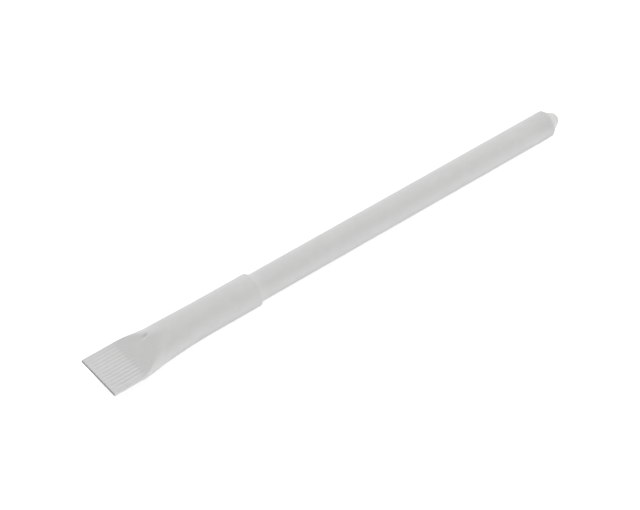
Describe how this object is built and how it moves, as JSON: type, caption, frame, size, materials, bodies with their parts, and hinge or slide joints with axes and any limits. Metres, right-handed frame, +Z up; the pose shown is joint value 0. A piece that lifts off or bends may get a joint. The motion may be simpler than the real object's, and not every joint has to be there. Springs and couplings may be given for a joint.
{
  "type": "capped paper ballpoint pen",
  "caption": "Slim stick ballpoint pen with a rolled paper barrel, a pull-off paper cap crimped flat and ribbed at its end, and a small conical rear plug.",
  "frame": {"origin": "on the surface under the middle of the capped pen, which lies on the cap's round stretch", "axes": "+X along the pen from the crimped end of the cap to the rear plug, +Z up, square to the crimp's flat faces"},
  "size_m": [0.15, 0.0142, 0.0093],
  "materials": {
    "barrel_paper": "smooth white paper, rolled and glued, matt",
    "cap_paper": "smooth white paper, rolled and glued, crimped at one end",
    "white_plastic": "injection moulded, fine matt",
    "clear_plastic": "extruded translucent tube",
    "brass": "turned, bright",
    "carbide": "lapped ball, finely matt",
    "ink": "blue-black writing paste",
    "grease": "clear yellowish grease"
  },
  "bodies": {
    "barrel": {"barrel_tube": "barrel_paper", "rear_plug": "white_plastic", "nose_cone": "white_plastic", "refill_tube": "clear_plastic", "point_housing": "brass", "ink_column": "ink"},
    "cap": {"cap_tube": "cap_paper"},
    "writing_ball": {"writing_ball": "carbide"},
    "ink_follower": {"grease_follower": "grease"}
  },
  "joints": [
    {"name": "cap_pull", "type": "slide", "parent": "barrel", "child": "cap", "axis": [-1, 0, 0], "range_m": [0, 0.04]},
    {"name": "ball_roll", "type": "hinge", "parent": "barrel", "child": "writing_ball", "pos_m": [-0.0526, 0, 0.00465], "axis": [0, 1, 0], "continuous": true},
    {"name": "follower_travel", "type": "slide", "parent": "barrel", "child": "ink_follower", "axis": [-1, 0, 0], "range_m": [0, 0.0834], "deforming": ["ink_column"]}
  ]
}
